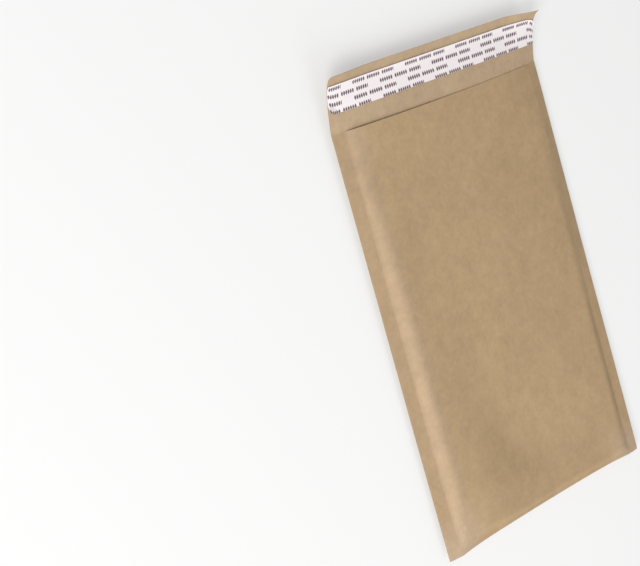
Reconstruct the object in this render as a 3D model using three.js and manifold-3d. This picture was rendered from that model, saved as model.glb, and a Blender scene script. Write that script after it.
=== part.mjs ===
// A padded envelope, open and empty, lying on its back with its front panel up: one sheet of
// kraft paper folded at the bottom and sealed along both sides, a bubble film lining folded
// inside it, and a closing flap with an adhesive band under a peel-off strip.
// Millimetres. +X runs across, +Y from the bottom fold to the flap, +Z out of the front panel.
// The origin is the centre of the flat of the back, which is what the envelope rests on.
import * as THREE from 'three';
import { mergeVertices } from 'three/addons/utils/BufferGeometryUtils.js';
import Module from 'manifold-3d';

// The body: outer width, length from the bottom corners to the flap's crease, and the width
// and thickness of the sealed margin along each side.
const WIDTH = 216;
const BODY_LENGTH = 305;
const SEAM_WIDTH = 11.5;
const SEAM_THICKNESS = 0.9;

// What the thickness is made of: paper, the gap to the film that is bonded to it, the bubble
// film, and the free height of the pocket.
const PAPER = 0.4;
const BOND_GAP = 0.25;
const BUBBLE = 3.3;
const POCKET_GAP = 4.6;

// Height of the seams over the surface that the back lies on.
const SEAM_HEIGHT = 4.5;

// How a panel rises from the seam: the distance it takes, and how steeply it starts.
const FLANK_RUN = 14;
const FLANK_POWER = 6;

// The bottom fold: how far its middle is drawn in past the flat corners, how quickly that
// comes across and fades along the body, the share of the bubbles left unsqueezed at the
// fold, and the distance over which the front and the back reach their full height.
const FOLD_DRAW = 3.4;
const FOLD_DRAW_RUN = 16;
const FOLD_DRAW_REACH = 48;
const FOLD_SQUEEZE = 0.7;
const FOLD_FRONT_RUN = 45;
const FOLD_BACK_RUN = 20;

// Where the pocket ends, over the bottom fold.
const POCKET_FROM_FOLD = 14;

// The mouth: the front panel's lip stops short of the crease. The bubble film is cut off below
// the lip with its last bubbles pressed flat, which lets the lip down towards the back.
const LIP_SETBACK = 1.3;
const LINING_SETBACK = 2;
const MOUTH_RUN = 40;
const BUBBLE_AT_CUT = 0.8;

// The flap: its length along the paper, its slope off the crease, and how much further it has
// curled at its free edge, in degrees. The two corners stand up more than the middle.
const FLAP_LENGTH = 40;
const FLAP_SLOPE = 14.5;
const CURL_MIDDLE = 30;
const CURL_LEFT = 40;
const CURL_RIGHT = 65;
const CURL_POWER = 4;
const CORNER_SPAN_LEFT = 46;
const CORNER_SPAN_RIGHT = 30;

// The peel-off strip and the adhesive band under it, measured along the flap from the crease.
const STRIP_FROM_EDGE = 7;
const STRIP_WIDTH = 20.5;
const STRIP_THICKNESS = 0.3;
const ADHESIVE_WIDTH = 14;
const ADHESIVE_THICKNESS = 0.3;
const ADHESIVE_END = 5;
const STRIP_GAP = 0.3;

// How finely the sheets are divided: faces on each flank, across the flat, round the bottom
// fold, where the panels rise from it, in the body, at the mouth and along the flap.
const FLANK_FACES = 6;
const FLAT_FACES = 6;
const NOSE_FACES = 4;
const RISING_FACES = 6;
const BODY_FACES = 3;
const MOUTH_FACES = 6;
const FLAP_FACES = 14;

// How much the faces crowd to where the sheet bends most: 1 is evenly spaced.
const EVEN = 1;
const RISING_CROWDING = 1.3;
const NOSE_CROWDING = 1.6;
const FLANK_CROWDING = 1.7;

const wasm = await Module();
wasm.setup();

const ease = (t) => THREE.MathUtils.smoothstep(t, 0, 1);
const clamp = THREE.MathUtils.clamp;

// Distances that follow from the driving ones.
const seamInner = WIDTH / 2 - SEAM_WIDTH;
const lipAt = BODY_LENGTH - LIP_SETBACK;
const fullThickness = 2 * (PAPER + BOND_GAP + BUBBLE) + POCKET_GAP;
const frontHeight = fullThickness - SEAM_HEIGHT;
const foldHeight = PAPER + BOND_GAP + BUBBLE * FOLD_SQUEEZE;
const liningDepth = PAPER + BOND_GAP;
const pocketDepth = liningDepth + BUBBLE;
const pressedAtCut = BUBBLE - BUBBLE_AT_CUT;

// Half the height of the shell's hollow where it runs into the seams and the fold, and of the
// film and its pocket there.
const SHELL_HOLLOW_EDGE = 0.25;
const FILM_EDGE = 0.05;

// Grid lines from a to b that crowd towards a.
function crowded(a, b, count, power) {
  return Array.from({ length: count + 1 }, (_, i) => a + (b - a) * (i / count) ** power);
}

// A closed solid over a grid of lines xs by ys. place(x, y, top) says where each point goes.
function gridSolid(xs, ys, place) {
  const nx = xs.length - 1;
  const ny = ys.length - 1;
  const geometry = new THREE.BoxGeometry(1, 1, 1, nx, ny, 1);
  const position = geometry.getAttribute('position');
  const point = new THREE.Vector3();
  for (let i = 0; i < position.count; i++) {
    point.fromBufferAttribute(position, i);
    const x = xs[Math.round((point.x + 0.5) * nx)];
    const y = ys[Math.round((point.y + 0.5) * ny)];
    point.copy(place(x, y, point.z > 0));
    position.setXYZ(i, point.x, point.y, point.z);
  }
  return toSolid(geometry);
}

function toSolid(geometry) {
  geometry.deleteAttribute('normal');
  geometry.deleteAttribute('uv');
  const merged = mergeVertices(geometry);
  const vertProperties = merged.getAttribute('position').array;
  const triVerts = new Uint32Array(merged.index.array);
  return new wasm.Manifold(new wasm.Mesh({ numProp: 3, vertProperties, triVerts }));
}

function toGeometry(solid) {
  const mesh = solid.getMesh();
  const geometry = new THREE.BufferGeometry();
  geometry.setAttribute('position', new THREE.BufferAttribute(mesh.vertProperties, 3));
  geometry.setIndex(new THREE.BufferAttribute(mesh.triVerts, 1));
  geometry.computeVertexNormals();
  return geometry;
}

// The share of its height that a panel has reached at x, from 0 at the seam to 1 on its flat.
// depth is how far a surface lies inside the outer one.
function acrossShare(x, depth) {
  const t = clamp((seamInner - depth - Math.abs(x)) / FLANK_RUN, 0, 1);
  return 1 - (1 - t) ** FLANK_POWER;
}

// The round nose of the bottom fold, from 0 at its outermost line to 1 where it is passed.
function noseShare(along, depth, radius) {
  const t = clamp((along - depth) / radius, 0, 1);
  return Math.sqrt(1 - (1 - t) ** 2);
}

// Height of the outer faces over and under the seam plane, on the flat of each panel.
function outerHeight(along, top) {
  if (!top) {
    return foldHeight + (SEAM_HEIGHT - foldHeight) * ease(along / FOLD_BACK_RUN);
  }
  const risen = foldHeight + (frontHeight - foldHeight) * ease(along / FOLD_FRONT_RUN);
  return risen - pressedAtCut * nearMouth(along);
}

// 0 in the body, rising to 1 at the lip.
function nearMouth(along) {
  return 1 - ease((lipAt - along) / MOUTH_RUN);
}

// A point of a surface that lies depth inside the outer faces of the body. edge is half the
// thickness that the solid has at the seam, and nose the radius of its fold.
function bodyPoint(x, along, top, depth, edge, nose) {
  const height = (outerHeight(along, top) - depth) * noseShare(along, depth, nose);
  const rise = Math.max(height - edge, 0) * acrossShare(x, depth) + edge;
  return new THREE.Vector3(x, bodyY(x, along), SEAM_HEIGHT + (top ? rise : -rise));
}

// Where a line at a distance along the body lies: the middle of the bottom fold is drawn in,
// and the corners, where the sheet is flat, are not.
function bodyY(x, along) {
  const fromSeam = Math.max(seamInner - Math.abs(x), 0);
  const drawn = FOLD_DRAW * (1 - Math.exp(-fromSeam / FOLD_DRAW_RUN));
  const fading = clamp(1 - along / FOLD_DRAW_REACH, 0, 1) ** 2;
  return along - BODY_LENGTH / 2 + drawn * fading;
}

// 0 on the middle of the flap, rising to 1 at its corners.
function cornerShare(x) {
  const span = x < 0 ? CORNER_SPAN_LEFT : CORNER_SPAN_RIGHT;
  return 1 - ease((WIDTH / 2 - Math.abs(x)) / span);
}

// The flap's slope at a share of its length, in radians.
function flapAngle(x, share) {
  const corner = x < 0 ? CURL_LEFT : CURL_RIGHT;
  const curl = CURL_MIDDLE + (corner - CURL_MIDDLE) * cornerShare(x);
  return THREE.MathUtils.degToRad(FLAP_SLOPE + curl * share ** CURL_POWER);
}

// A point at a distance along the flap from the crease, and off its lower face. The flap
// leaves the crease with the back panel's hollow section, which widens towards its free edge.
function flapPoint(x, along, off) {
  const steps = 24;
  const step = along / steps;
  let y = BODY_LENGTH / 2;
  let rise = 0;
  for (let i = 0; i < steps; i++) {
    const angle = flapAngle(x, ((i + 0.5) * step) / FLAP_LENGTH);
    y += step * Math.cos(angle);
    rise += step * Math.sin(angle);
  }
  const share = along / FLAP_LENGTH;
  const sag = THREE.MathUtils.lerp(acrossShare(x, 0), 1 - cornerShare(x), clamp(share, 0, 1));
  const low = (SEAM_HEIGHT - SEAM_THICKNESS / 2) * (1 - sag);
  const angle = flapAngle(x, share);
  return new THREE.Vector3(x, y - off * Math.sin(angle), low + rise + off * Math.cos(angle));
}

// Lines across a solid whose edge lies depth inside the seams, with further lines at edges.
function linesAcross(depth, edges) {
  const start = seamInner - depth;
  const flank = crowded(start, start - FLANK_RUN, FLANK_FACES, FLANK_CROWDING);
  const flat = start - FLANK_RUN;
  const middle = crowded(flat, -flat, FLAT_FACES, EVEN).slice(1, -1);
  const right = [...edges, ...flank];
  const left = right.map((x) => -x);
  return [...left, ...middle.reverse(), ...right.reverse()];
}

// Lines along a solid that starts over the bottom fold and ends at the mouth.
function linesAlong(from, nose, to) {
  const bend = nose > 0 ? crowded(from, from + nose, NOSE_FACES, NOSE_CROWDING) : [from];
  const rising = crowded(bend.at(-1), FOLD_FRONT_RUN, RISING_FACES, RISING_CROWDING).slice(1);
  const body = crowded(FOLD_FRONT_RUN, lipAt - MOUTH_RUN, BODY_FACES, EVEN).slice(1);
  const mouth = crowded(lipAt - MOUTH_RUN, to, MOUTH_FACES, EVEN).slice(1);
  return [...bend, ...rising, ...body, ...mouth];
}

// Distances of the strips' edges along the flap, and of their ends from the middle.
const stripHigh = FLAP_LENGTH - STRIP_FROM_EDGE;
const stripLow = stripHigh - STRIP_WIDTH;
const adhesiveLow = stripLow + (STRIP_WIDTH - ADHESIVE_WIDTH) / 2;
const adhesiveHigh = adhesiveLow + ADHESIVE_WIDTH;
const adhesiveSide = WIDTH / 2 - ADHESIVE_END;

// The flap and what is stuck to it share their lines, so that they bend alike.
const flapAcross = linesAcross(0, [WIDTH / 2, adhesiveSide]);
const stripEdges = [stripLow, adhesiveLow, adhesiveHigh, stripHigh];
const leastSpacing = 0.5;
const clearOfEdge = (row) => stripEdges.every((edge) => Math.abs(row - edge) > leastSpacing);
const flapRows = crowded(0, FLAP_LENGTH, FLAP_FACES, EVEN)
  .filter(clearOfEdge)
  .concat(stripEdges)
  .sort((a, b) => a - b);

// Kraft shell: the folded and sealed sheet, hollowed out through its mouth. Past the lip only
// the back panel goes on, as the flap.
function kraftShell() {
  const stepAtLip = 0.4;
  const flapLines = flapRows.map((row) => BODY_LENGTH + row);
  const lines = [...linesAlong(0, foldHeight, lipAt), lipAt + stepAtLip, ...flapLines];
  const outer = gridSolid(flapAcross, lines, (x, along, top) => {
    if (along > BODY_LENGTH) {
      return flapPoint(x, along - BODY_LENGTH, top ? PAPER : 0);
    }
    const isFront = top && along <= lipAt;
    const point = bodyPoint(x, along, isFront, 0, SEAM_THICKNESS / 2, foldHeight);
    point.z += top && !isFront ? PAPER : 0;
    return point;
  });

  // The hollow runs out past the lip, clear of the flap's upper face.
  const pastLip = 6;
  const clearOfFlap = 0.1;
  const hollowNose = foldHeight - PAPER;
  const hollowLines = [...linesAlong(PAPER, hollowNose, lipAt), lipAt + pastLip];
  const hollow = gridSolid(linesAcross(PAPER, []), hollowLines, (x, along, top) => {
    const edge = SHELL_HOLLOW_EDGE;
    const point = bodyPoint(x, Math.min(along, lipAt), top, PAPER, edge, hollowNose);
    if (along > lipAt) {
      const floor = flapPoint(x, pastLip, PAPER + clearOfFlap).z;
      point.y += pastLip;
      point.z = top ? Math.max(point.z, floor + edge) : floor;
    }
    return point;
  });
  return outer.subtract(hollow);
}

// Bubble lining: the same form one paper's thickness in, hollowed out by the pocket.
function bubbleLining() {
  const end = lipAt - LINING_SETBACK;
  const nose = foldHeight - liningDepth;
  const outer = gridSolid(linesAcross(liningDepth, []), linesAlong(liningDepth, nose, end),
    (x, along, top) => bodyPoint(x, along, top, liningDepth, FILM_EDGE, nose));

  // Towards the mouth the bubbles are pressed flatter, so the pocket opens there.
  const pastEnd = 4;
  const pocketLines = [...linesAlong(POCKET_FROM_FOLD, 0, end), end + pastEnd];
  const pocket = gridSolid(linesAcross(pocketDepth, []), pocketLines, (x, along, top) => {
    const depth = pocketDepth - pressedAtCut * nearMouth(along);
    return bodyPoint(x, along, top, depth, FILM_EDGE, 0);
  });
  return outer.subtract(pocket);
}

// A strip laid on the flap: between two distances along it, out to side, and lifted off its
// lower face.
function flapStrip(low, high, side, off, thickness) {
  const xs = flapAcross.filter((x) => Math.abs(x) <= side);
  const rows = flapRows.filter((row) => row >= low && row <= high);
  return gridSolid(xs, rows, (x, along, top) => flapPoint(x, along, top ? off + thickness : off));
}

function addPart(name, solid, color, roughness) {
  const material = new THREE.MeshStandardMaterial({ color, roughness, metalness: 0 });
  const mesh = new THREE.Mesh(toGeometry(solid), material);
  mesh.name = name;
  envelope.add(mesh);
}

const envelope = new THREE.Group();
envelope.name = 'padded_envelope';

const adhesiveOff = PAPER + STRIP_GAP;
const stripOff = adhesiveOff + ADHESIVE_THICKNESS + STRIP_GAP;
const adhesive = flapStrip(adhesiveLow, adhesiveHigh, adhesiveSide, adhesiveOff, ADHESIVE_THICKNESS);
const strip = flapStrip(stripLow, stripHigh, WIDTH / 2, stripOff, STRIP_THICKNESS);

addPart('kraft_shell', kraftShell(), 0xb99b78, 0.85);
addPart('bubble_lining', bubbleLining(), 0xdfe3e4, 0.25);
addPart('adhesive_strip', adhesive, 0xd8c9a0, 0.3);
addPart('release_liner', strip, 0xf6f1f1, 0.45);

export default envelope;
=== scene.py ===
import math

import bmesh
import bpy
from mathutils import Matrix, Vector, noise


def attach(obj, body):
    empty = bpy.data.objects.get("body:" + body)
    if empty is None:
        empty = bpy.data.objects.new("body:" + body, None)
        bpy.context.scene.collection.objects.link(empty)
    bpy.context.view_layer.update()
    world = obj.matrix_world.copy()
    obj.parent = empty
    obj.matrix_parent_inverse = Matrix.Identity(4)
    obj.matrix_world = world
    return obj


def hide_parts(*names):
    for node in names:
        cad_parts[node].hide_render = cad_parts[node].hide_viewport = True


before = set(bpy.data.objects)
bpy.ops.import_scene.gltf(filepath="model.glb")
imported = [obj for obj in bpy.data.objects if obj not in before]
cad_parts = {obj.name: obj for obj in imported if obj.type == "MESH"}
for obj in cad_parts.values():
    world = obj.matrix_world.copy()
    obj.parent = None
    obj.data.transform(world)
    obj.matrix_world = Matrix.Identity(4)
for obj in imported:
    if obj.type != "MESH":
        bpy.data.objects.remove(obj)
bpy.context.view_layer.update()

# The kraft sheet: one sheet of brown kraft paper, 216 mm wide and about 650 mm long. It is folded
# once across the bottom, its long edges are heat-sealed together in two margins, and past the
# front panel's cut edge the back panel goes on as the closing flap. Sizes are in millimetres.
mm = 0.001
half_width = 108.0
body_length = 305.0
lip_short = 1.3
lip_at = body_length - lip_short
seam_width = 11.5
seam_inner = half_width - seam_width
seam_height = 4.5
seam_half_thickness = 0.28
fold_height = 2.96
paper_thickness = 0.25


def clamped(value):
    """value kept from 0 to 1."""
    return min(max(value, 0.0), 1.0)


def ease(share):
    """A smooth change from 0 to 1 as share goes from 0 to 1."""
    share = clamped(share)
    return share * share * (3 - 2 * share)


def between(start, end, share):
    return start + (end - start) * share


def to_right(x):
    """0 on the left of the sheet and 1 on its right, with a smooth change over the middle."""
    return ease((x + seam_inner) / (2 * seam_inner))


def ripple(x, along, size, seed):
    """Smooth random waves from -1 to 1, each about size mm long."""
    return noise.noise(Vector((x / size, along / size, seed)))


# How far inside each seam a panel has risen to its flat, and the power that rounds its shoulder.
# Near the mouth the front's flanks are wider, and near the fold its left one is gentle.
flank_run = 11.5
flank_power = 3.3
flank_run_left_mouth = 18.0
left_mouth_reach = 60.0
flank_gentle_run = 50.0
flank_gentle_share = 0.7
left_fold_reach = 50.0
flank_run_right = 10.0
flank_power_right = 1.7
flank_run_right_mouth = 27.0
right_mouth_reach = 100.0


def front_share(x, along):
    """How far the front panel has risen from the seam to its flat, 0 to 1."""
    if x < 0:
        wide = ease(1 - (lip_at - along) / left_mouth_reach)
        share = clamped((seam_inner + x) / between(flank_run, flank_run_left_mouth, wide))
        gentle = 1 - (1 - clamped((seam_inner + x) / flank_gentle_run)) ** 2
        gentle_share = flank_gentle_share * ease(1 - along / left_fold_reach)
        return between(1 - (1 - share) ** flank_power, gentle, gentle_share)
    wide = ease(1 - (lip_at - along) / right_mouth_reach)
    share = clamped((seam_inner - x) / between(flank_run_right, flank_run_right_mouth, wide))
    return 1 - (1 - share) ** flank_power_right


def back_share(x):
    """The same for the back panel."""
    share = clamped((seam_inner - abs(x)) / flank_run)
    return 1 - (1 - share) ** flank_power


# The soft groove that runs down the front panel and turns along the bottom: points of its
# bottom line as distance across and along, how deep it is there, and how wide on its inner side.
groove_line = [
    (-30, 175, 0.0, 14),
    (-30, 150, 0.4, 14),
    (-31, 130, 0.8, 14),
    (-34, 110, 1.0, 16),
    (-35, 90, 1.5, 24),
    (-30, 75, 2.3, 34),
    (-20, 58, 3.2, 44),
    (-9, 47, 3.8, 46),
    (5, 41, 3.7, 46),
    (21, 38, 2.9, 46),
    (38, 34, 1.9, 44),
    (58, 29, 0.8, 34),
    (78, 28, 0.0, 30),
]
groove_outer_width = 19.0


def groove(x, along):
    """Depth of the soft groove at a point of the front panel."""
    nearest, depth, width = math.inf, 0.0, 1.0
    for (x0, y0, d0, w0), (x1, y1, d1, w1) in zip(groove_line, groove_line[1:]):
        dx, dy = x1 - x0, y1 - y0
        share = clamped(((x - x0) * dx + (along - y0) * dy) / (dx * dx + dy * dy))
        distance = math.hypot(x - x0 - share * dx, along - y0 - share * dy)
        if distance < nearest:
            inside = dx * (along - y0) - dy * (x - x0) > 0
            nearest, depth = distance, between(d0, d1, share)
            width = between(w0, w1, share) if inside else groove_outer_width
    return depth * math.exp(-(nearest / width) ** 2)


# Where the padding swells the front panel or lets it sink: place across and along, how far it
# reaches each way, and its height.
swells = [
    (-62, 32, 24, 36, 2.6),
    (-86, 170, 22, 110, 1.2),
    (70, 70, 34, 42, 1.7),
    (26, 214, 50, 80, 3.3),
]


def swell(x, along):
    """How far the padding lifts the front panel at a point."""
    lifts = 0.0
    for middle_x, middle_along, reach_x, reach_along, height in swells:
        away = ((x - middle_x) / reach_x) ** 2 + ((along - middle_along) / reach_along) ** 2
        lifts += height * math.exp(-away)
    return lifts


# The paper's small waves, from broad to short, and its crinkles: height, size and the noise's seed.
waves = [
    (0.55, 70.0, 3.7),
    (0.38, 24.0, 9.1),
    (0.07, 9.0, 5.3),
]
waves_from_seam = 30.0
waves_from_fold = 20.0
swells_from_fold = 12.0
bubble_pitch = 11.5
bubble_print = 0.02


def front_relief(x, along):
    """How far the front panel stands off its smooth form: swells, waves, the groove and the bubbles."""
    fade = ease((seam_inner - abs(x)) / waves_from_seam) * ease(along / waves_from_fold)
    lift = 0.0
    for height, size, seed in waves:
        lift += height * ripple(x, along, size, seed)
    across = math.cos(2 * math.pi * x / bubble_pitch)
    length = math.cos(2 * math.pi * along / (bubble_pitch * math.sqrt(3)))
    lift += bubble_print * across * length
    return fade * lift + ease(along / swells_from_fold) * (swell(x, along) - groove(x, along))


# How much higher each seam's inner line stands than the paper's edge, and how far the edges
# themselves lift and wave. The whole mouth is arched up in its middle.
seam_lift_left = 1.5
seam_lift_left_fold = 2.3
seam_lift_fold_reach = 35.0
seam_lift_left_mouth = 1.6
seam_lift_right = 1.5
seam_lift_right_high = 3.8
seam_lift_right_high_from = 90.0
seam_lift_right_high_to = 190.0
seam_lift_right_mouth = 2.6
seam_lift_mouth_reach = 50.0
edge_lift_left = 1.4
edge_lift_left_from = 90.0
edge_lift_right = 0.8
edge_lift_right_to = 190.0
seam_wave = 0.35
seam_wave_size = 55.0
seam_wave_seed = 1.3
seam_wave_line = 20.0
seam_wave_from_fold = 30.0
seam_wave_inwards = 60.0
mouth_arch = 5.3
mouth_arch_power = 3.0
mouth_arch_reach = 100.0


def seam_line(x, along):
    """Height of the joined seam: highest at its inner line, drooping to the paper's edge."""
    high = ease((along - seam_lift_right_high_from) / (seam_lift_right_high_to - seam_lift_right_high_from))
    lift_right = between(seam_lift_right, seam_lift_right_high, high)
    mouth = ease(1 - (lip_at - along) / seam_lift_mouth_reach)
    lift_left = between(seam_lift_left, seam_lift_left_fold, ease(1 - along / seam_lift_fold_reach))
    lift_left = between(lift_left, seam_lift_left_mouth, mouth)
    lift_right = between(lift_right, seam_lift_right_mouth, mouth)
    lift = between(lift_left, lift_right, to_right(x))
    slope = clamped((half_width - abs(x)) / seam_width)
    side = math.copysign(seam_wave_line, x)
    wave = seam_wave * ripple(side, along, seam_wave_size, seam_wave_seed) * ease(along / seam_wave_from_fold)
    wave *= 1 - ease((seam_inner - abs(x)) / seam_wave_inwards)
    across = clamped(abs(x) / seam_inner)
    arch = mouth_arch * (1 - across ** mouth_arch_power) * ease(1 - (body_length - along) / mouth_arch_reach)
    if x < 0:
        past = (along - edge_lift_left_from) / (body_length - edge_lift_left_from)
        edge = edge_lift_left * clamped(past)
    else:
        edge = edge_lift_right * (1 - ease(along / edge_lift_right_to))
    edge *= 1 - ease((half_width - abs(x)) / half_width)
    return seam_height + (lift + wave) * slope + arch + edge


# The front panel's height above the seams, how soon it rises from the fold, and the gap that its
# lip leaves over the back panel, which closes towards the right.
front_height = 7.2
front_height_right = 5.6
fold_front_run = 7.5
fold_front_run_corner = 12.0
fold_corner_from = -78.0
fold_corner_to = -45.0
mouth_run = 100.0
lip_gap_left = 1.7
lip_gap_right = 0.1
lip_gap_closes_from = -110.0
lip_gap_closes_to = 50.0


def near_mouth(along):
    """0 on the body and 1 at the mouth."""
    return 1 - ease((lip_at - along) / mouth_run)


def front_top(x, along):
    """Height of the front panel's outer face over the middle of the body."""
    height = between(front_height, front_height_right, to_right(x))
    near_corner = 1 - ease((x - fold_corner_from) / (fold_corner_to - fold_corner_from))
    run = between(fold_front_run, fold_front_run_corner, near_corner)
    risen = between(fold_height, height, ease(along / run))
    closed = ease((x - lip_gap_closes_from) / (lip_gap_closes_to - lip_gap_closes_from))
    lip = seam_line(x, along) + seam_half_thickness + between(lip_gap_left, lip_gap_right, closed)
    return between(seam_height + risen + front_relief(x, along), lip, near_mouth(along))


fold_back_run = 20.0


def back_bottom(x, along):
    """Height of the back panel's outer face: on the floor, and up to the front panel at the mouth."""
    low = seam_height - between(fold_height, seam_height, ease(along / fold_back_run))
    at_mouth = ease(1 - (body_length - along) / mouth_arch_reach)
    return between(low, seam_line(x, along) - seam_half_thickness, at_mouth)


def fold_radius(x):
    return seam_half_thickness + (fold_height - seam_half_thickness) * back_share(x)


# The padding draws the bottom fold in, between its corners. The fold has a small notch beside the
# right seam, and its right corner is rounded.
fold_drawn_in = 2.5
fold_draw_run = 22.0
fold_draw_reach = 48.0
fold_notch_at = 97.8
fold_notch_depth = 0.5
fold_notch_width = 1.2
fold_notch_reach = 3.0
fold_right_corner_radius = 1.4
fold_corner_reach = 12.0


def body_y(x, along):
    """Place of a line of the body: the fold is drawn in, except at its corners."""
    from_seam = max(seam_inner - abs(x), 0.0)
    drawn = fold_drawn_in * (1 - math.exp(-from_seam / fold_draw_run))
    notch = fold_notch_depth * math.exp(-((x - fold_notch_at) / fold_notch_width) ** 2)
    fading = clamped(1 - along / fold_draw_reach) ** 2
    near_fold = clamped(1 - along / fold_notch_reach)
    past = max(x - half_width + fold_right_corner_radius, 0.0)
    rounding = fold_right_corner_radius - math.sqrt(fold_right_corner_radius ** 2 - past ** 2)
    corner = clamped(1 - along / fold_corner_reach) * rounding
    return along - body_length / 2 + drawn * fading + notch * near_fold + corner


# At the mouth the front panel's sealed margin is pressed thinner than the rest.
lip_pressed = 0.05
lip_pressed_across = 3.0
lip_pressed_along = 8.0
least_height = 0.02


def body_point(x, along, turn, on_front, depth):
    """A point of the panels, depth inside their outer faces. turn goes from 0 on the fold's
    outermost line to 1 where the panels leave it."""
    radius = fold_radius(x)
    rise_at = max(along, radius)
    if turn < 1:
        along = radius - (radius - depth) * math.cos(turn * math.pi / 2)
        rise_at = radius
    seam = seam_line(x, rise_at)
    half = seam_half_thickness
    if on_front:
        rise = (front_top(x, rise_at) - seam - half) * front_share(x, rise_at)
        pressed = ease((abs(x) - seam_inner) / lip_pressed_across + 1)
        pressed *= ease(1 - (lip_at - along) / lip_pressed_along)
        half = between(half, lip_pressed, pressed)
    else:
        rise = (seam - back_bottom(x, rise_at) - half) * back_share(x)
    rise = max(half + max(rise, 0.0) - depth, least_height) * math.sin(turn * math.pi / 2)
    return Vector((x, body_y(x, along), seam + (rise if on_front else -rise)))


# The flap slopes up from its crease and curls further towards its free edge, most at its two
# corners, in degrees. The line that it rises from sinks, except at the corners. Its left corner
# is rounded.
flap_length = 40.3
flap_slope = 14.5
flap_curl_middle = 30.0
flap_curl_left = 40.0
flap_curl_right = 61.0
flap_curl_power = 4.0
flap_span_left = 46.0
flap_span_right = 36.0
flap_tip_low = 1.6
flap_left_corner_radius = 2.6
flap_steps = 24


def flap_corner(x):
    """0 on the middle of the flap, rising to 1 at its corners."""
    span = flap_span_left if x < 0 else flap_span_right
    return 1 - ease((half_width - abs(x)) / span)


def flap_angle(x, share):
    """Slope of the flap, at a share of its length."""
    corner = flap_curl_left if x < 0 else flap_curl_right
    curl = between(flap_curl_middle, corner, flap_corner(x))
    return math.radians(flap_slope + curl * share ** flap_curl_power)


def flap_point(x, along, off):
    """A point at a distance along the flap from its crease, and off its lower face."""
    step = along / flap_steps
    y = body_length / 2
    rise = 0.0
    for i in range(flap_steps):
        angle = flap_angle(x, (i + 0.5) * step / flap_length)
        y += step * math.cos(angle)
        rise += step * math.sin(angle)
    share = along / flap_length
    root = body_point(x, body_length, 1, False, 0).z
    tip = between(flap_tip_low, seam_height - seam_half_thickness, flap_corner(x))
    angle = flap_angle(x, share)
    low = between(root, tip, clamped(share))
    return Vector((x, y - off * math.sin(angle), low + rise + off * math.cos(angle)))


def flap_reach(x):
    """Length of the flap, whose left corner is rounded."""
    past = max(-x - half_width + flap_left_corner_radius, 0.0)
    rounding = flap_left_corner_radius - math.sqrt(max(flap_left_corner_radius ** 2 - past ** 2, 0))
    return flap_length - rounding


def spaced(stops):
    """Lines from each stop to the next: a list of (place, number of faces up to it)."""
    lines = [stops[0][0]]
    for (start, _), (end, count) in zip(stops, stops[1:]):
        lines += [between(start, end, (i + 1) / count) for i in range(count)]
    return lines


def wrapped_rows(front_stops, turns, back_stops):
    """Rows from the mouth down the front, round the fold and up the back. Each is the place along
    the panel, the turn round the fold, and the part that it is on."""
    rows = [(along, 1, "front") for along in reversed(spaced(front_stops))]
    rows += [(0, i / turns, "front") for i in range(turns - 1, -1, -1)]
    rows += [(0, i / turns, "back") for i in range(1, turns)]
    rows += [(along, 1, "back") for along in spaced(back_stops)]
    return rows


def lengths_of(rows, place):
    """How far each row is from the first, measured on the sheet's middle line."""
    lengths = [0.0]
    for row, next_row in zip(rows, rows[1:]):
        lengths.append(lengths[-1] + (place(0, next_row) - place(0, row)).length)
    return lengths


def panel_along(x, along):
    """The panels start where the fold ends, which is nearer the edge in the margins."""
    radius = fold_radius(x)
    return radius + (along - fold_height) * (lip_at - radius) / (lip_at - fold_height)


def laid_out(columns, rows, place, lengths):
    """A grid of columns by rows whose points place(column, row) sets, with a UV map in mm."""
    bm = bmesh.new()
    across, down = len(columns) - 1, len(rows) - 1
    bmesh.ops.create_grid(bm, x_segments=across, y_segments=down, size=1)
    flat = bm.loops.layers.uv.new("flat_mm")
    cell = {}
    for vert in bm.verts:
        cell[vert] = (round((vert.co.x + 1) / 2 * across), round((vert.co.y + 1) / 2 * down))
    for face in bm.faces:
        for loop in face.loops:
            column, row = cell[loop.vert]
            loop[flat].uv = (columns[column], lengths[row])
    for vert, (column, row) in cell.items():
        vert.co = place(columns[column], rows[row])
    for edge in bm.edges:
        edge.smooth = not edge.is_boundary
    return bm


def finished(bm, name, finish, node):
    """The mesh as an object in metres that stands for a CAD node."""
    bmesh.ops.scale(bm, vec=(mm, mm, mm), verts=bm.verts)
    mesh = bpy.data.meshes.new(name)
    bm.to_mesh(mesh)
    bm.free()
    mesh.shade_smooth()
    piece = bpy.data.objects.new(name, mesh)
    bpy.context.scene.collection.objects.link(piece)
    piece.data.materials.append(finish)
    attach(piece, "root")
    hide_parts(node)
    return piece


def thickened(piece, thickness, offset):
    """Gives a piece its thickness in mm, behind its face with an offset of -1 or before it with 1."""
    wall = piece.modifiers.new("thickness", "SOLIDIFY")
    wall.thickness = thickness * mm
    wall.offset = offset
    return wall


class Value:
    """A node's output, so that shader maths can be written as an expression."""

    def __init__(self, finish, socket):
        self.finish = finish
        self.socket = socket

    def output(self, name):
        """Another output of the same node."""
        return Value(self.finish, self.socket.node.outputs[name])

    def __add__(self, other):
        return self.finish.maths("ADD", self, other)

    def __sub__(self, other):
        return self.finish.maths("SUBTRACT", self, other)

    def __rsub__(self, other):
        return self.finish.maths("SUBTRACT", other, self)

    def __mul__(self, other):
        return self.finish.maths("MULTIPLY", self, other)

    def __truediv__(self, other):
        return self.finish.maths("DIVIDE", self, other)

    def __rtruediv__(self, other):
        return self.finish.maths("DIVIDE", other, self)

    __radd__ = __add__
    __rmul__ = __mul__


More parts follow.
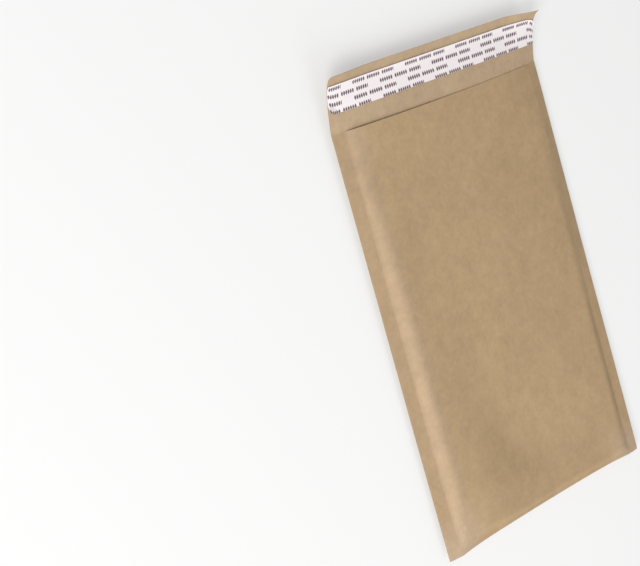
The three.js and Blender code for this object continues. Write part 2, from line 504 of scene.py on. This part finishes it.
class Finish:
    """A material and the nodes it is made of."""

    def __init__(self, name, kind=bpy.data.materials):
        self.material = kind.new(name)
        self.material.use_nodes = True
        self.tree = self.material.node_tree
        self.tree.nodes.clear()

    def node(self, kind, settings, sockets, output=0):
        """A new node, with its settings made first and then its sockets' values or links."""
        made = self.tree.nodes.new(kind)
        for name, value in settings.items():
            setattr(made, name, value)
        for name, value in sockets.items():
            if isinstance(value, Value):
                self.tree.links.new(value.socket, made.inputs[name])
            else:
                made.inputs[name].default_value = value
        return Value(self, made.outputs[output] if made.outputs else None)

    def maths(self, operation, a, b=0.0):
        return self.node("ShaderNodeMath", {"operation": operation}, {0: a, 1: b})

    def flat_mm(self):
        """Place on the flat sheet, in mm."""
        return self.node("ShaderNodeUVMap", {"uv_map": "flat_mm"}, {})

    def parted(self, vector):
        """A vector's X. Its Y is this value's output of that name."""
        return self.node("ShaderNodeSeparateXYZ", {}, {0: vector})

    def stretched(self, vector, scale):
        return self.node("ShaderNodeMapping", {}, {"Vector": vector, "Scale": scale})

    def cloud(self, vector, scale=1.0, detail=2.0):
        """Soft noise from 0 to 1, about one half in the middle."""
        sockets = {"Vector": vector, "Scale": scale, "Detail": detail}
        return self.node("ShaderNodeTexNoise", {}, sockets, "Fac")

    def part_of(self, value, start, end):
        """0 where value is at start, 1 at end, with a smooth change between."""
        sockets = {"Value": value, "From Min": start, "From Max": end}
        return self.node("ShaderNodeMapRange", {"interpolation_type": "SMOOTHSTEP"}, sockets)

    def mixed(self, share, first, second):
        """Two colours mixed. The Mix node's colour sockets are its inputs 6 and 7 and its output 2."""
        return self.node("ShaderNodeMix", {"data_type": "RGBA"}, {0: share, 6: first, 7: second}, 2)

    def lightened(self, color, factor):
        """color times a number that changes over the surface."""
        color = color if isinstance(color, Value) else color[:3]
        settings = {"operation": "SCALE"}
        return self.node("ShaderNodeVectorMath", settings, {0: color, "Scale": factor})

    def surface(self, sockets):
        shader = self.node("ShaderNodeBsdfPrincipled", {}, sockets)
        self.node("ShaderNodeOutputMaterial", {}, {"Surface": shader})
        return self.material


# Lines across the sheet and rows along it, closest in the margins, at the fold and at the lip:
# each stop's place, and the number of faces up to it.
sheet_columns = spaced([
    (-half_width, 0), (-107.2, 2), (-105, 3), (-seam_inner, 6), (-60, 24), (60, 46),
    (seam_inner, 24), (105, 6), (107.2, 3), (half_width, 2),
])
front_stops = [(fold_height, 0), (20, 12), (260, 96), (300, 20), (lip_at, 4)]
fold_turns = 9
back_stops = [(fold_height, 0), (20, 10), (290, 68), (body_length, 8)]
flap_stops = [(0, 0), (36, 32), (flap_length, 6)]
lip_set_back = 0.8
lip_set_back_reach = 25.0

sheet_rows = wrapped_rows(front_stops, fold_turns, back_stops)
sheet_rows += [(along, 1, "flap") for along in spaced(flap_stops)[1:]]


def sheet_point(x, row):
    along, turn, part = row
    if part == "flap":
        return flap_point(x, along * flap_reach(x) / flap_length, 0)
    if turn == 1 and along < lip_at:
        along = panel_along(x, along)
    if part == "front":
        bow = 1 - clamped(abs(x) / seam_inner) ** 2
        along -= lip_set_back * bow * ease(1 - (lip_at - along) / lip_set_back_reach)
    return body_point(x, along, turn, part == "front", 0)


sheet_lengths = lengths_of(sheet_rows, sheet_point)
fold_line = sheet_lengths[sheet_rows.index((0, 0, "front"))]

# The kraft's colours and patterns. A pattern is soft noise, with so many waves to the mm of paper,
# and it changes the tone by so much. The flecks are the peaks of a noise of their own.
kraft_color = (0.447, 0.309, 0.172, 1)
kraft_inside_color = (0.478, 0.348, 0.220, 1)
kraft_fleck_color = (0.30, 0.19, 0.10, 1)
# Painted highlight colours, paler and less saturated than the paper, for the left flank and the fold's
# corners.
kraft_flank_painted_highlight_color = (0.440, 0.314, 0.195, 1)
kraft_corner_painted_highlight_color = (0.498, 0.365, 0.243, 1)
kraft_roughness = 0.82
kraft_specular = 0.32
kraft_detail = 3.0
mottling_waves = 0.028
mottling_tone = 0.20
blotch_waves = 0.11
blotch_tone = 0.22
formation_waves = 0.3
formation_tone = 0.22
fibre_waves = (1.6, 0.22, 1)
fibre_tone = 0.20
grain_waves = 2.6
fleck_waves = (1.3, 0.5, 1)
fleck_detail = 1.0
fleck_starts = 0.70
fleck_full = 0.78
fleck_strength = 0.45
fibre_height = 1.4
bump_strength = 0.18
bump_depth = 0.2

# Where the front's left flank and the bottom fold's corners are painted paler and less saturated. This is a
# painted highlight, where the paper's sheen catches the light. Each pair is where the painted highlight
# starts and where it is full, across the sheet or along it from the fold.
flank_highlight_inside = (-77.0, -90.0)
flank_highlight_weaker = (-94.0, -104.0)
flank_highlight_weaker_by = 0.5
flank_highlight_along = (5.0, -5.0)
corner_highlight_across = (62.0, 98.0)
corner_highlight_along = (38.0, 8.0)


def kraft_paper(name, color, flank_highlight_color, corner_highlight_color):
    """Kraft paper: mottled, with short fibres along the sheet and dark flecks. A painted highlight makes it
    paler and less saturated along the front's left flank and at the corners of the bottom fold."""
    kraft = Finish(name)
    place = kraft.flat_mm()
    mottling = kraft.cloud(place, mottling_waves, kraft_detail)
    blotches = kraft.cloud(place, blotch_waves)
    formation = kraft.cloud(place, formation_waves, kraft_detail)
    fibres = kraft.cloud(kraft.stretched(place, fibre_waves), detail=kraft_detail)
    tone = 1 + (mottling - 0.5) * mottling_tone + (blotches - 0.5) * blotch_tone
    tone = tone + (formation - 0.5) * formation_tone + (fibres - 0.5) * fibre_tone
    speckle = kraft.cloud(kraft.stretched(place, fleck_waves), detail=fleck_detail)
    flecks = kraft.part_of(speckle, fleck_starts, fleck_full)
    height = kraft.cloud(place, grain_waves) + fibres * fibre_height + formation
    across = kraft.parted(place)
    past_fold = across.output("Y") - fold_line
    # Painted highlight: the colour turns paler and less saturated along the front's left flank.
    flank_highlight = kraft.part_of(across, *flank_highlight_inside) * kraft.part_of(past_fold, *flank_highlight_along)
    flank_highlight = flank_highlight * (1 - kraft.part_of(across, *flank_highlight_weaker) * flank_highlight_weaker_by)
    # Painted highlight: corner is where the paler, less saturated colour at both corners of the fold is full.
    corner = kraft.part_of(kraft.maths("ABSOLUTE", across), *corner_highlight_across)
    corner = corner * kraft.part_of(kraft.maths("ABSOLUTE", past_fold), *corner_highlight_along)
    paper = kraft.mixed(corner, kraft.mixed(flank_highlight, color, flank_highlight_color), corner_highlight_color)
    flecked = kraft.mixed(flecks * fleck_strength, paper, kraft_fleck_color)
    bump = {"Strength": bump_strength, "Distance": bump_depth * mm, "Height": height}
    return kraft.surface({
        "Base Color": kraft.lightened(flecked, tone),
        "Roughness": kraft_roughness,
        "Specular IOR Level": kraft_specular,
        "Normal": kraft.node("ShaderNodeBump", {}, bump),
    })


kraft_finish = kraft_paper("kraft_paper", kraft_color, kraft_flank_painted_highlight_color, kraft_corner_painted_highlight_color)
kraft_inside_finish = kraft_paper(
    "kraft_paper_inside", kraft_inside_color, kraft_inside_color, kraft_inside_color
)

bm = laid_out(sheet_columns, sheet_rows, sheet_point, sheet_lengths)
bmesh.ops.reverse_faces(bm, faces=bm.faces)
kraft_sheet = finished(bm, "kraft_sheet", kraft_finish, "kraft_shell")
paper_wall = thickened(kraft_sheet, paper_thickness, -1)
kraft_sheet.data.materials.append(kraft_inside_finish)
paper_wall.material_offset = 1

# The bubble lining: clear polyethylene film in two layers welded together round air bubbles,
# folded once inside the paper and stuck to it, with the bubbles facing into the pocket.
# Its cut edges lie just inside the mouth, where the bubbles are pressed flat.
film_depth = 0.5
film_thickness = 0.05
film_half_width = 95.4
film_end = 298.6
film_columns = spaced([(-film_half_width, 0), (-80, 12), (80, 40), (film_half_width, 12)])
film_front_stops = [(fold_height, 0), (20, 6), (250, 50), (film_end, 16)]
film_turns = 6
film_back_stops = [(fold_height, 0), (20, 6), (film_end, 60)]
film_rows = wrapped_rows(film_front_stops, film_turns, film_back_stops)


def film_point(x, row):
    along, turn, part = row
    if turn == 1:
        along = panel_along(x, along)
    return body_point(x, along, turn, part == "front", film_depth)


bm = laid_out(film_columns, film_rows, film_point, lengths_of(film_rows, film_point))
bmesh.ops.reverse_faces(bm, faces=bm.faces)

# One bubble, standing on the film's plane, is made once and set on the film at each place. It is a
# grid wrapped round and closed, because the faces of a sphere come in another order each run.
bubble_radius = 4.9
bubble_height = 3.0
bubble_height_at_cut = 0.9
bubble_least_height = 0.5
bubble_sides = 10
bubble_rings = 3
bubble_closed_within = 0.001
bubble_from_fold = 14.0
bubble_clear = 1.0
bubble_clear_of_opposite = 0.15

dome = bmesh.new()
bmesh.ops.create_grid(dome, x_segments=bubble_sides, y_segments=bubble_rings, size=1)
for vert in dome.verts:
    around = (vert.co.x + 1.5) * math.pi
    up = (vert.co.y + 1) * math.pi / 4
    vert.co = (math.cos(around) * math.cos(up), math.sin(around) * math.cos(up), math.sin(up))
bmesh.ops.remove_doubles(dome, verts=dome.verts, dist=bubble_closed_within)
dome_mesh = bpy.data.meshes.new("bubble")
dome.to_mesh(dome_mesh)
dome.free()

row_pitch = bubble_pitch * math.sqrt(3) / 2
rows_of_bubbles = int((film_end - bubble_from_fold) / row_pitch)
bubbles_across = int(film_half_width / bubble_pitch)
for on_front in (True, False):
    # The front's bubbles hang down, so they are turned over across as well, and stay right side out.
    facing = -1 if on_front else 1
    for row in range(rows_of_bubbles + 1):
        along = bubble_from_fold + row * row_pitch
        shift = bubble_pitch / 2 if row % 2 else 0.0
        for step in range(-bubbles_across, bubbles_across + 1):
            x = step * bubble_pitch + shift
            if abs(x) > film_half_width - bubble_radius - bubble_clear:
                continue
            foot = body_point(x, along, 1, on_front, film_depth)
            opposite = body_point(x, along, 1, not on_front, film_depth)
            room = abs(foot.z - opposite.z) / 2 - bubble_clear_of_opposite
            height = min(between(bubble_height, bubble_height_at_cut, near_mouth(along)), room)
            if height < bubble_least_height:
                continue
            first = len(bm.verts)
            bm.from_mesh(dome_mesh)
            bm.verts.ensure_lookup_table()
            for vert in bm.verts[first:]:
                place_x = x + facing * vert.co.x * bubble_radius
                place_along = along + vert.co.y * bubble_radius
                depth = film_depth + vert.co.z * height
                vert.co = body_point(place_x, place_along, 1, on_front, depth)
bpy.data.meshes.remove(dome_mesh)

# The film's haze has its waves to the metre. Each pair is a value's least and most.
film_color = (0.74, 0.77, 0.775, 1)
film_haze_waves = 180.0
film_tone = (0.94, 1.06)
film_roughness = (0.14, 0.26)
film_alpha = (0.30, 0.42)
film_ior = 1.5

film = Finish("bubble_film")
film_haze = film.cloud(film.node("ShaderNodeTexCoord", {}, {}, "Object"), film_haze_waves)
film_finish = film.surface({
    "Base Color": film.lightened(film_color, between(*film_tone, film_haze)),
    "Roughness": between(*film_roughness, film_haze),
    "Alpha": between(*film_alpha, film_haze),
    "IOR": film_ior,
})
bubble_lining = finished(bm, "bubble_lining_film", film_finish, "bubble_lining")
thickened(bubble_lining, film_thickness, -1)

# The adhesive strip: a thin band of tacky glue, spread across the inside of the flap in the
# factory. The release strip covers it, so it shows only at its long edges.
adhesive_low = 15.75
adhesive_high = 29.75
adhesive_half_width = 103.0
adhesive_off = 0.26
adhesive_thickness = 0.12
adhesive_row_count = 14
adhesive_columns = [x for x in sheet_columns if abs(x) < adhesive_half_width]
adhesive_columns = [-adhesive_half_width, *adhesive_columns, adhesive_half_width]
adhesive_rows = spaced([(adhesive_low, 0), (adhesive_high, adhesive_row_count)])


def adhesive_point(x, along):
    return flap_point(x, along, adhesive_off)


glue_color = (0.687, 0.584, 0.352, 1)
glue_streak_waves = (0.05, 1.2, 1)
glue_tone = (0.94, 1.06)
glue_roughness = (0.18, 0.33)
glue_coat = 0.4

glue = Finish("adhesive")
glue_streaks = glue.cloud(glue.stretched(glue.flat_mm(), glue_streak_waves))
glue_finish = glue.surface({
    "Base Color": glue.lightened(glue_color, between(*glue_tone, glue_streaks)),
    "Roughness": between(*glue_roughness, glue_streaks),
    "Coat Weight": glue_coat,
})
bm = laid_out(adhesive_columns, adhesive_rows, adhesive_point, adhesive_rows)
adhesive_band = finished(bm, "adhesive_band", glue_finish, "adhesive_strip")
thickened(adhesive_band, adhesive_thickness, 1)

# The release strip: white siliconed paper, 20.5 mm wide, laid over the glue and trimmed flush
# with the flap's ends. Two of its corners have come up a little. It is printed with staggered
# runs of small plain lozenges.
strip_low = 12.5
strip_high = 33.0
strip_off = 0.42
strip_thickness = 0.09
strip_row_count = 20
strip_rows = spaced([(strip_low, 0), (strip_high, strip_row_count)])
lifted_left = 2.4
lifted_left_reach = 8.0
lifted_right = 1.2
lifted_right_reach = 5.0
lifted_top = 0.6
lifted_top_reach = 3.0
strip_right_corner_across = 11.0
strip_right_corner_down = 6.0
strip_left_corner_across = 6.5
strip_left_corner_up = 4.5


def strip_point(x, share):
    """A point of the release strip, whose upper right and lower left corners are cut round and lifted."""
    past_right = clamped(1 - (half_width - x) / strip_right_corner_across)
    past_left = clamped(1 - (half_width + x) / strip_left_corner_across)
    top = strip_high - strip_right_corner_down * (1 - math.sqrt(1 - past_right ** 2))
    bottom = strip_low + strip_left_corner_up * (1 - math.sqrt(1 - past_left ** 2))
    along = between(bottom, top, (share - strip_low) / (strip_high - strip_low))
    from_left = math.hypot(x + half_width, along - strip_low)
    from_right = math.hypot(x - half_width, along - strip_high)
    lift = lifted_left * ease(1 - from_left / lifted_left_reach)
    lift += lifted_right * ease(1 - from_right / lifted_right_reach)
    lift += lifted_top * ease(1 - (top - along) / lifted_top_reach)
    return flap_point(x, along, strip_off + lift)


# The print: rows down the strip, runs along each row, and in a run words of lozenges, whose last
# place is empty. Every other row is moved along by half a run.
print_row_pitch = 5.6
first_row_from_edge = 2.9
run_period = 52.6
run_length = 41.0
run_gap_at = -37.0
runs_before = 4
lozenge_pitch = 2.1
lozenge_half_width = 0.95
lozenge_half_height = 2.4
lozenge_cut_height = 1.5
places_in_word = 7
strip_color = (0.900, 0.838, 0.840, 1)
ink_color = (0.075, 0.022, 0.052, 1)
ink_strength = 0.92
strip_cloud_waves = 0.12
strip_tone = (0.985, 1.015)
strip_roughness = (0.42, 0.52)
strip_specular = 0.3

strip = Finish("release_strip")
across = strip.parted(strip.flat_mm())
up_flap = across.output("Y")
row_place = (strip_high - first_row_from_edge + print_row_pitch / 2 - up_flap) / print_row_pitch
row_number = strip.maths("FLOOR", row_place)
from_row = strip.maths("ABSOLUTE", (row_place - row_number - 0.5) * print_row_pitch)
stagger = strip.maths("MODULO", row_number, 2.0) * (run_period / 2)
shifted = (across - run_gap_at + runs_before * run_period + stagger) / run_period
from_gap = (shifted - strip.maths("FLOOR", shifted)) * run_period
in_run = from_gap - (run_period - run_length) / 2
cell = in_run / lozenge_pitch
cell_number = strip.maths("FLOOR", cell)
from_cell = strip.maths("ABSOLUTE", (cell - cell_number - 0.5) * lozenge_pitch)
in_lozenge = from_cell / lozenge_half_width + from_row / lozenge_half_height
inked = strip.maths("LESS_THAN", in_lozenge, 1.0)
inked = inked * strip.maths("LESS_THAN", from_row, lozenge_cut_height)
inked = inked * strip.maths("GREATER_THAN", in_run, 0.0)
inked = inked * strip.maths("LESS_THAN", in_run, run_length)
in_word = strip.maths("MODULO", cell_number, places_in_word)
inked = inked * strip.maths("LESS_THAN", in_word, places_in_word - 1)
strip_cloud = strip.cloud(strip.flat_mm(), strip_cloud_waves)
strip_paint = strip.mixed(inked * ink_strength, strip_color, ink_color)
strip_finish = strip.surface({
    "Base Color": strip.lightened(strip_paint, between(*strip_tone, strip_cloud)),
    "Roughness": between(*strip_roughness, strip_cloud),
    "Specular IOR Level": strip_specular,
})
bm = laid_out(sheet_columns, strip_rows, strip_point, strip_rows)
release_strip = finished(bm, "release_strip", strip_finish, "release_liner")
thickened(release_strip, strip_thickness, 1)

# The floor, the light and the camera: a plain pale floor under soft studio light. The camera
# keeps the photograph's direction, roll and framing, with the envelope lying on its back.
# Here places and sizes are in metres.
floor_half_size = 4.0
floor_color = (0.87, 0.87, 0.865, 1)
floor_roughness = 0.9
floor_specular = 0.2
floor_glow = 0.42
white_strength = 1.0
ambient = 0.42

bm = bmesh.new()
bmesh.ops.create_grid(bm, x_segments=1, y_segments=1, size=floor_half_size)
floor_mesh = bpy.data.meshes.new("floor")
bm.to_mesh(floor_mesh)
bm.free()
floor = bpy.data.objects.new("floor", floor_mesh)
bpy.context.scene.collection.objects.link(floor)


def seen_directly(finish):
    """1 for what the camera sees, straight or in a reflection or through glass, and 0 for its light."""
    path = finish.node("ShaderNodeLightPath", {}, {})
    seen = finish.maths("MAXIMUM", path.output("Is Camera Ray"), path.output("Is Glossy Ray"))
    return finish.maths("MAXIMUM", seen, path.output("Is Transmission Ray"))


pale = Finish("pale_floor")
matt = {"Base Color": floor_color, "Roughness": floor_roughness, "Specular IOR Level": floor_specular}
matt_floor = pale.node("ShaderNodeBsdfPrincipled", {}, matt)
white = pale.node("ShaderNodeEmission", {}, {"Strength": white_strength})
whitened = {0: seen_directly(pale) * floor_glow, 1: matt_floor, 2: white}
pale.node("ShaderNodeOutputMaterial", {}, {"Surface": pale.node("ShaderNodeMixShader", {}, whitened)})
floor.data.materials.append(pale.material)

studio = Finish("studio", bpy.data.worlds)
bpy.context.scene.world = studio.material
sky = {"Color": (1, 1, 1, 1), "Strength": between(ambient, white_strength, seen_directly(studio))}
studio.node("ShaderNodeOutputWorld", {}, {"Surface": studio.node("ShaderNodeBackground", {}, sky)})

key_place = (-2.3, -0.5, 1.5)
key_target = (0, 0, 0)
key_size = 1.1
key_power = 64
flap_light_place = (-0.2, -2.2, 1.7)
flap_light_target = (0, 0.1, 0)
flap_light_size = 1.6
flap_light_power = 16


def soft_light(name, place, target, size, power):
    """A square soft light that faces the envelope."""
    lamp = bpy.data.lights.new(name, "AREA")
    lamp.shape = "SQUARE"
    lamp.size = size
    lamp.energy = power
    light = bpy.data.objects.new(name, lamp)
    light.location = place
    light.rotation_mode = "QUATERNION"
    light.rotation_quaternion = (Vector(place) - Vector(target)).to_track_quat("Z", "Y")
    bpy.context.scene.collection.objects.link(light)


soft_light("key_light", key_place, key_target, key_size, key_power)
soft_light("flap_light", flap_light_place, flap_light_target, flap_light_size, flap_light_power)

camera_lens = 107.47
camera_sensor = 36
camera_place = (-0.9619, 0.2553, 0.9361)
camera_right = Vector((0.69749, -0.27275, 0.66265))
camera_up = Vector((0.30522, 0.94973, 0.06965))
camera_back = Vector((-0.64834, 0.15368, 0.74568))

camera_data = bpy.data.cameras.new("camera")
camera_data.lens = camera_lens
camera_data.sensor_width = camera_sensor
camera_data.sensor_fit = "HORIZONTAL"
camera = bpy.data.objects.new("camera", camera_data)
turned = Matrix((camera_right, camera_up, camera_back)).transposed().to_4x4()
camera.matrix_world = Matrix.Translation(camera_place) @ turned
bpy.context.scene.collection.objects.link(camera)
bpy.context.scene.camera = camera
bpy.context.scene.view_settings.view_transform = "Standard"
